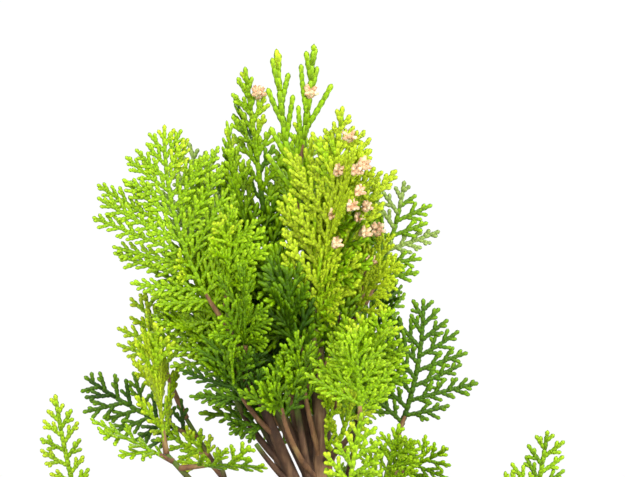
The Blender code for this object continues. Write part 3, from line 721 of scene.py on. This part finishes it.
class Ribbons:
    # branchlets to be drawn; a ring is a spot, two half axes, a place, a tint and whether it is last
    def __init__(self):
        self.columns, self.ends, self.tips = [[] for _ in range(6)], [], []

    def shoot(self, start, along, flat, length, width, pitch, curl, tint, taper=0.12, tipped=True):
        # scales in a row along an arc that bends by curl degrees in its own plane; the tip may be paler
        pairs = max(1, round(length / pitch))
        places = [place for k in range(pairs) for place in (k, k + ribbon["second"])]
        places = np.array([*places, pairs - ribbon["short"]])
        turn = radians(curl) * places / pairs
        heads = np.outer(np.cos(turn), along) + np.outer(np.sin(turn), np.cross(flat, along))
        gaps = np.diff(places, prepend=0)[:, None] * length / pairs
        spots = start + np.cumsum(heads * gaps, axis=0)
        outer = np.arange(len(places)) % 2
        wide = np.where(outer, 1.0, ribbon["narrow"]) * (1 - taper * places / pairs)
        thick = np.where(outer, ribbon["thin"], 1.0)
        wide[-1], thick[-1] = ribbon["tip"], ribbon["tip"]
        across = np.cross(flat, heads) * (wide * width / 2)[:, None]
        deep = flat * (thick * width / 2 * ribbon["thick"])[:, None]
        tone = np.full(len(places), tint)
        if tipped:
            tone[-3:] = min(tint + 1, sunlit) if tint <= sunlit else tint
        for column, made in zip(self.columns, (spots, across, deep, places, tone, places == places[-1])):
            column.append(made)
        tip = spots[-1] + heads[-1] * pitch * ribbon["point"]
        self.ends.append((start - along * ribbon["sunk"], tip))
        self.tips.append((tip, heads[-1]))
        return spots, heads

    def draw(self, name, sides, finishes, nodes):
        # rings joined by squares, with a fan of triangles at each end
        spot, across, flat, uv, tint, last = map(np.concatenate, self.columns)
        ends, turns = np.array(self.ends), 2 * np.pi * np.arange(sides) / sides
        cosines, sines = np.cos(turns)[:, None], np.sin(turns)[:, None]
        corners = spot[:, None] + across[:, None] * cosines + flat[:, None] * sines
        rings, shoots = len(spot), len(ends)
        here, ahead = np.arange(sides), (np.arange(sides) + 1) % sides
        first = np.concatenate([[0], np.flatnonzero(last)[:-1] + 1])
        band = np.flatnonzero(~last)[:, None] * sides
        quads = np.stack([band + here, band + ahead, band + sides + ahead, band + sides + here], axis=2)
        foot = rings * sides + np.arange(shoots)[:, None] + here * 0
        low, high = first[:, None] * sides, np.flatnonzero(last)[:, None] * sides
        feet = np.stack([low + ahead, low + here, foot], axis=2)
        tops = np.stack([high + here, high + ahead, foot + shoots], axis=2)
        loops = np.concatenate([quads.ravel(), feet.ravel(), tops.ravel()])
        sizes = np.concatenate([np.full(quads.size // 4, 4), np.full(2 * shoots * sides, 3)])
        points = np.concatenate([corners.reshape(-1, 3), ends[:, 0], ends[:, 1]])
        ringUv = np.stack([np.tile(np.cos(turns), rings), np.repeat(uv, sides)], axis=1)
        tipUv = np.stack([np.zeros(shoots), uv[last] + 0.2], axis=1)
        spread = np.concatenate([ringUv, np.zeros((shoots, 2)), tipUv])
        tone = np.concatenate([np.repeat(tint[part], sides) for part in (~last, first, last)])
        used = sorted(set(tone.tolist()))
        order = np.zeros(len(tints), int)
        order[used] = np.arange(len(used))
        mesh = meshOf(name, points, loops, sizes, order[tone])
        layer = mesh.uv_layers.new(name="UVMap")
        layer.data.foreach_set("uv", spread[loops].astype(np.float32).ravel())
        settled(mesh, [finishes[t] for t in used], nodes)
        return int((sizes - 2).sum())


def unit(v):
    return v / sqrt(v @ v)


def twirl(v, axis, angle):
    turned = v * cos(angle) + np.cross(axis, v) * sin(angle)
    return turned + axis * (axis @ v) * (1 - cos(angle))


sprays = {
    "longestBud": 1.7 * mm, "budded": 3.2 * mm,  # a side shoot longer than this has buds
    "firstGap": (0.5, 0.8), "gapStray": (0.85, 1.15), "bareTip": 1.9 * mm,
    "taper": 0.66, "stray": (0.75, 1.1), "slimmer": 0.95, "curl": 14, "roll": 0.12, "nod": 0.08,
}


def spray(leaves, start, along, flat, length, width, curl, tint, dice, level, form):
    # a branchlet with side shoots in its own plane, and with buds on those
    spots, heads = leaves.shoot(start, along, flat, length, width, form["pitch"] * mm, curl, tint)
    if level == 0:
        return
    gap = form["shootGap"] * mm * (1 if level == 2 else 0.9)
    longest = form["longest"] * mm if level == 2 else sprays["longestBud"]
    hand = dice.choice((-1, 1))
    walked = gap * dice.uniform(*sprays["firstGap"])
    while walked < length - sprays["bareTip"]:
        at = walked / length * (len(spots) - 1)
        k = int(at)
        foot = spots[k] + (spots[k + 1] - spots[k]) * (at - k)
        side = np.cross(flat, heads[k]) * hand
        splay = radians(dice.uniform(*form["shootSplay"]))
        reach = min(longest, (length - walked) * sprays["taper"]) * dice.uniform(*sprays["stray"])
        ahead = heads[k] * cos(splay) + side * sin(splay)
        tilted = unit(flat + side * dice.gauss(0, sprays["roll"]) + heads[k] * dice.gauss(0, sprays["nod"]))
        tilted = unit(tilted - ahead * (tilted @ ahead))
        deeper = level - 1 if reach > sprays["budded"] else 0
        spray(leaves, foot, ahead, tilted, reach, width * sprays["slimmer"], -sprays["curl"] * hand, tint,
              dice, deeper, form)
        hand = -hand
        walked += gap * 0.5 * dice.uniform(*sprays["gapStray"])


def outlineShare(place):
    # how far the sprays reach at each place of a fan: most near its foot, least at its tip
    return min(1.0, 0.72 + 1.6 * place) * (1 - 0.85 * place ** 2.4)


def dealt(tones, place, dice):
    # tints run from the foot of a fan to its tip, with some straying
    return tones[round(0.4 * dice.choice(range(len(tones))) + 0.6 * place * (len(tones) - 1))]


def fanFrame(bearing, twist, along):
    across = Vector((-sin(radians(bearing)), cos(radians(bearing)), 0))
    normal = (across - along * across.dot(along)).normalized()
    normal.rotate(Matrix.Rotation(radians(twist), 3, along))
    return normal, normal.cross(along).normalized()


growth = {  # on every fan; splays and curls in degrees
    "steps": 24, "stride": 3, "stem": (1.25, 0.3), "stemPitch": 1.3, "stemTaper": 0.05,
    "twig": (0.85 * mm, 0.55 * mm), "sprays": 0.96, "splayStray": (-5, 5), "stray": (0.74, 1.2),
    "curl": (-4, 14), "sideFans": 0.72, "sidePlace": (0.2, 0.8), "sideTurn": (-0.9, 0.9),
    "sideReach": (0.4, 0.58), "sideSpread": 0.6,
}
sideGrowth = {  # on every side fan
    "stem": 1.1, "stemCurl": (-16, 16), "sprays": (0.15, 0.72), "splayStray": (-5, 5), "lessSplay": 3,
    "roll": 0.15, "stray": (0.85, 1.1), "curl": (-4, 16),
}


def sideFan(leaves, start, along, flat, reach, spread, tint, dice, form):
    # a smaller fan that springs from a bigger one's stem in a plane of its own
    width, pitch = form["width"] * mm, form["pitch"] * mm
    spots, heads = leaves.shoot(start, along, flat, reach, width * sideGrowth["stem"], pitch,
                                dice.uniform(*sideGrowth["stemCurl"]), tint)
    count = max(2, round(2 * reach / (form["sprayGap"] * mm)))
    low, high = form["splay"]
    for j in range(count):
        share = sideGrowth["sprays"][0] + sideGrowth["sprays"][1] * (j + 0.5) / count
        k = min(int(share * len(spots)), len(spots) - 1)
        hand = 1 if j % 2 else -1
        side = np.cross(flat, heads[k]) * hand
        splay = low + (high - low) * share - sideGrowth["lessSplay"]
        splay = radians(splay + dice.uniform(*sideGrowth["splayStray"]))
        out = unit(side + flat * dice.gauss(0, sideGrowth["roll"]))
        ahead = unit(heads[k] * cos(splay) + out * sin(splay))
        tilted = unit(np.cross(ahead, heads[k])) * -hand
        length = min(spread * outlineShare(share) / sin(splay),
                     (1 - share) * reach * form["slope"] + 1 * mm) * dice.uniform(*sideGrowth["stray"])
        curl = -dice.uniform(*sideGrowth["curl"]) * hand
        spray(leaves, spots[k], ahead, tilted, length, width, curl, tint, dice, 2, form)


def growFan(leaves, name, row, limbs, twigs):
    limb, share, bearing, rise, lift, reach, spread, twist, fold, bare, tones, sideFans, kind = row
    form, dice = forms[kind], random.Random(f"{seed} {name}")
    width, pitch = form["width"] * mm, form["pitch"] * mm
    steps, stride = growth["steps"], growth["stride"]
    line = grownLine(pointAt(limbs[limb], share), bearing, rise, lift, reach * mm, steps)
    bareEnd = max(1, round(bare * steps))
    twigs.append((line[: bareEnd + 3], *growth["twig"]))
    thickest, thinning = growth["stem"]
    for k in range(bareEnd, steps, stride):
        ahead = line[min(k + stride, steps)]
        along = (ahead - line[k]).normalized()
        normal, _ = fanFrame(bearing, twist, along)
        wide = width * (thickest - thinning * (k - bareEnd) / (steps - bareEnd))
        leaves.shoot(np.array(line[k]), np.array(along), np.array(normal), (ahead - line[k]).length, wide,
                     pitch * growth["stemPitch"], 0, dealt(tones, k / steps, dice),
                     taper=growth["stemTaper"], tipped=k > steps - stride - 1)
    count = max(2, round(2 * reach * (1 - bare) / form["sprayGap"]))
    low, high = form["splay"]
    for j in range(count):
        place = (j + 0.3) / count
        at = bare + (growth["sprays"] - bare) * place
        along = heading(bearing, rise + lift * at)
        normal, side = fanFrame(bearing, twist, along)
        hand = 1 if j % 2 else -1
        lean = radians(fold * dice.uniform(-1, 1))
        splay = radians(low + (high - low) * place + dice.uniform(*growth["splayStray"]))
        out = side * hand * cos(lean) + normal * sin(lean)
        ahead = (along * cos(splay) + out * sin(splay)).normalized()
        flat = ahead.cross(along).normalized() * hand
        length = min(spread * outlineShare(place) / sin(splay), (1 - at) * reach * form["slope"] + 1)
        spray(leaves, np.array(pointAt(line, at)), np.array(ahead), np.array(flat),
              length * mm * dice.uniform(*growth["stray"]), width, dice.uniform(*growth["curl"]) * hand,
              dealt(tones, place, dice), dice, 2, form)
    for j in range(sideFans):
        at = bare + (growth["sideFans"] - bare) * (j + dice.uniform(*growth["sidePlace"])) / sideFans
        along = np.array(heading(bearing, rise + lift * at))
        roll = dice.uniform(0, 2 * pi)
        normal, side = fanFrame(bearing, twist, Vector(along))
        out = np.array(normal) * sin(roll) + np.array(side) * cos(roll)
        lean = radians(dice.uniform(*form["lean"]))
        ahead = unit(along * cos(lean) + out * sin(lean))
        flat = twirl(unit(np.cross(ahead, along)), ahead, dice.uniform(*growth["sideTurn"]))
        length = reach * mm * min(dice.uniform(*growth["sideReach"]) * (1.1 - at * 0.5), 0.9 - at)
        sideFan(leaves, np.array(pointAt(line, at)), ahead, flat, length,
                spread * mm * growth["sideSpread"], dealt(tones, at, dice), dice, form)


# a colour scaled darker or lighter, for the painted shade and the painted highlight on the scales
def shade(colour, share):
    return tuple(min(1.0, c * share) for c in colour)


def leafFinish(name, colour):
    leaf = Finish(name, Roughness=0.42, Subsurface_Weight=0.12, Subsurface_Scale=0.6 * mm,
                  Specular_IOR_Level=0.2, Subsurface_Radius=(0.6, 1.0, 0.15))
    place = leaf.place()
    broad = leaf.grain(place, 110, 2)
    # the scale that faces out is 0.55 wide each way, and the two that clasp its edges are half a step on
    edge = leaf.maths("GREATER_THAN", leaf.maths("ABSOLUTE", leaf.part("UV", "X")), 0.55)
    rise = leaf.maths("FRACT", leaf.part("UV", "Y") + edge * 0.5)
    # each scale is painted darker at its foot, a painted shade where the scale before it overlaps, and
    # lighter towards its tip, a painted highlight; broad adds random mottling
    tone = leaf.ramp(rise * 0.5 + broad * 0.5, (0.3, shade(colour, 0.6)), (0.72, shade(colour, 1.38)))
    relief = leaf.bump(rise + leaf.grain(place, 2600, 1) * 0.4, 0.14 * mm, 0.6)
    return leaf.wear(Base_Color=tone, Roughness=0.34 + broad * 0.2, Normal=relief)


def makeFoliage(limbs):
    finishes = [leafFinish(name, colour) for name, colour in tints.items()]
    fans["leavesCrownMore"], fans["leavesSkirtMore"] = thicken("crown", limbs), thicken("skirt", limbs)
    twigs, tips, total = [], [], 0
    for name, rows in fans.items():
        leaves = Ribbons()
        for fan, row in rows.items():
            growFan(leaves, fan, row, limbs, twigs)
        nodes = [fan for fan in rows if fan.startswith("fan_")]
        count = leaves.draw(name, forms[row[-1]]["sides"], finishes, nodes)
        if name in cones["on"]:
            tips += leaves.tips
        total += count
        print(name, count, "triangles")
    print("foliage made,", total, "triangles")
    return twigs, tips


def makeTwigs(twigs):
    bm = bmesh.new()
    for line, foot, tip in twigs:
        limbTube(bm, line, np.linspace(foot, tip, len(line)), 8, relief=1.5)
    woodPiece(bm, "twigWood", "twigBark")
    print("twigs made")


# Young cones: a small cup with a star of blunt pinkish horns

cones = {
    "size": 4.8 * mm, "stray": (0.85, 1.12), "seed": 5, "on": ("leavesApex", "leavesCrest"),
    "spots": [  # where each one sits, across and up, in mm
        (9.5, 260.9), (13.6, 254.1), (5.7, 251), (11, 251), (12.5, 247.3), (11.8, 242.7), (5.7, 240),
        (15.2, 242.7), (11.8, 240.8), (17.8, 237.3), (14.8, 235), (7.2, 232), (15.9, 228.2),
        (-13.5, 271.3), (2.2, 271),
    ],
    "nearer": 0.12,  # how much a tip at the front is preferred
    "follow": 0.6, "facing": (0.15, -0.75, 0.25),  # it leans along its shoot and outward
    # in shares of the size
    "cup": 0.3, "horns": 7, "leans": (38, 62), "hornOut": 0.32, "hornLength": 0.34,
    "hornRadii": (0.17, 0.08),
    "tones": [(0.36, (0.48, 0.27, 0.13)), (0.52, (0.7, 0.47, 0.27)), (0.66, (0.84, 0.7, 0.44))],
}


def coneShape():
    bm = bmesh.new()
    bmesh.ops.create_icosphere(bm, subdivisions=1, radius=cones["cup"])
    wide, blunt = cones["hornRadii"]
    for k in range(cones["horns"]):
        turn = 2 * pi * k / cones["horns"] + 0.3
        lean = radians(cones["leans"][k % 2])
        out = Vector((cos(turn) * sin(lean), sin(turn) * sin(lean), cos(lean)))
        spin = out.to_track_quat("Z", "Y").to_matrix().to_4x4()
        spot = Matrix.Translation(out * cones["hornOut"]) @ spin
        bmesh.ops.create_cone(bm, cap_ends=True, segments=5, radius1=wide, radius2=blunt,
                              depth=cones["hornLength"], matrix=spot)
    return arraysOf(bm)


def makeCones(tips):
    # each on the shoot tip that is nearest to its spot
    points, heads = np.array([tip for tip, _ in tips]), np.array([head for _, head in tips])
    feet, ways = [], []
    for x, z in cones["spots"]:
        apart = np.hypot(points[:, 0] - x * mm, points[:, 2] - z * mm) + points[:, 1] * cones["nearer"]
        best = int(np.argmin(apart))
        feet.append(points[best])
        ways.append(unit(heads[best] * cones["follow"] + np.array(cones["facing"])))
    feet, ways = np.array(feet), np.array(ways)
    across = units(np.cross(ways, np.array([0.3, 0.2, 1.0])))
    chance = np.random.default_rng(cones["seed"])
    size = (cones["size"] * chance.uniform(*cones["stray"], len(feet)))[:, None]
    axes = [across * size, np.cross(ways, across) * size, ways * size]
    pink = Finish("conePink", Roughness=0.6, Subsurface_Weight=0.2, Subsurface_Scale=0.5 * mm)
    cloud = pink.grain(pink.place(), 700, 3)
    pink.wear(Base_Color=pink.ramp(cloud, *cones["tones"]), Normal=pink.bump(cloud, 0.15 * mm, 0.6))
    mesh = repeated(coneShape(), feet, axes, np.zeros(len(feet), int), "youngCones")
    settled(mesh, [pink.owner])
    print("cones made")


# Floor, light and camera

studio = {
    "lens": 138, "distance": 0.62, "aim": (0.6 * mm, 0, 234.6 * mm), "elevation": 0.5,
    "floorRadius": 1.2, "floorGlow": (0.2, 1.1, 0.62),  # where the glow starts and is full, and its strength
    "sky": {"From Min": 0.2, "From Max": 0.5, "To Min": 1.02, "To Max": 0.25},
    "lightAim": (0, 0, 0.2),
    "lights": {  # spot, size, power
        "keyLight": ((-0.25, -0.8, 1.0), 0.55, 13),
        "fillLight": ((0.8, -0.7, 0.7), 0.7, 11),
        "backLight": ((0.2, 0.9, 0.8), 0.7, 9),
    },
}


def aimed(data, spot, way):
    made = placed(data)
    made.location = spot
    made.rotation_mode = "QUATERNION"
    made.rotation_quaternion = way.to_track_quat("-Z", "Y")
    return made


def makeStudio():
    scene = bpy.context.scene
    bm = bmesh.new()
    bmesh.ops.create_circle(bm, cap_ends=True, segments=128, radius=studio["floorRadius"])
    floor = placed(meshFrom(bm, "floor"))
    # the floor glows, a painted light that grows outward until it meets the white round the horizon
    pale = Finish("paleFloor", Base_Color=(0.86, 0.86, 0.86, 1), Roughness=0.8, Emission_Strength=1)
    out = pale.node("ShaderNodeVectorMath", {"operation": "LENGTH"}, {0: pale.place()}, "Value")
    floor.data.materials.append(pale.wear(Emission_Color=pale.smoothStep(out, *studio["floorGlow"])))
    # white all round the horizon, dimmer overhead
    sky = Shader(bpy.data.worlds.new("studio"), "Background", Color=(1, 1, 1, 1))
    sockets = {"Value": sky.part("Generated", "Z"), **studio["sky"]}
    scene.world = sky.wear(Strength=sky.node("ShaderNodeMapRange", {}, sockets))
    for name, (spot, size, power) in studio["lights"].items():
        light = bpy.data.lights.new(name, "AREA")
        light.shape, light.size, light.energy = "DISK", size, power
        aimed(light, spot, Vector(studio["lightAim"]) - Vector(spot))
    camera = bpy.data.cameras.new("camera")
    camera.lens, camera.clip_start = studio["lens"], 0.01
    tip = radians(studio["elevation"])
    back = Vector((0, -cos(tip), sin(tip)))
    scene.camera = aimed(camera, Vector(studio["aim"]) + back * studio["distance"], -back)
    scene.view_settings.view_transform = "Standard"
    print("studio made")


makePot()
makeSoil()
limbs = makeLimbs()
twigs, tips = makeFoliage(limbs)
makeTwigs(twigs)
makeCones(tips)
makeStudio()
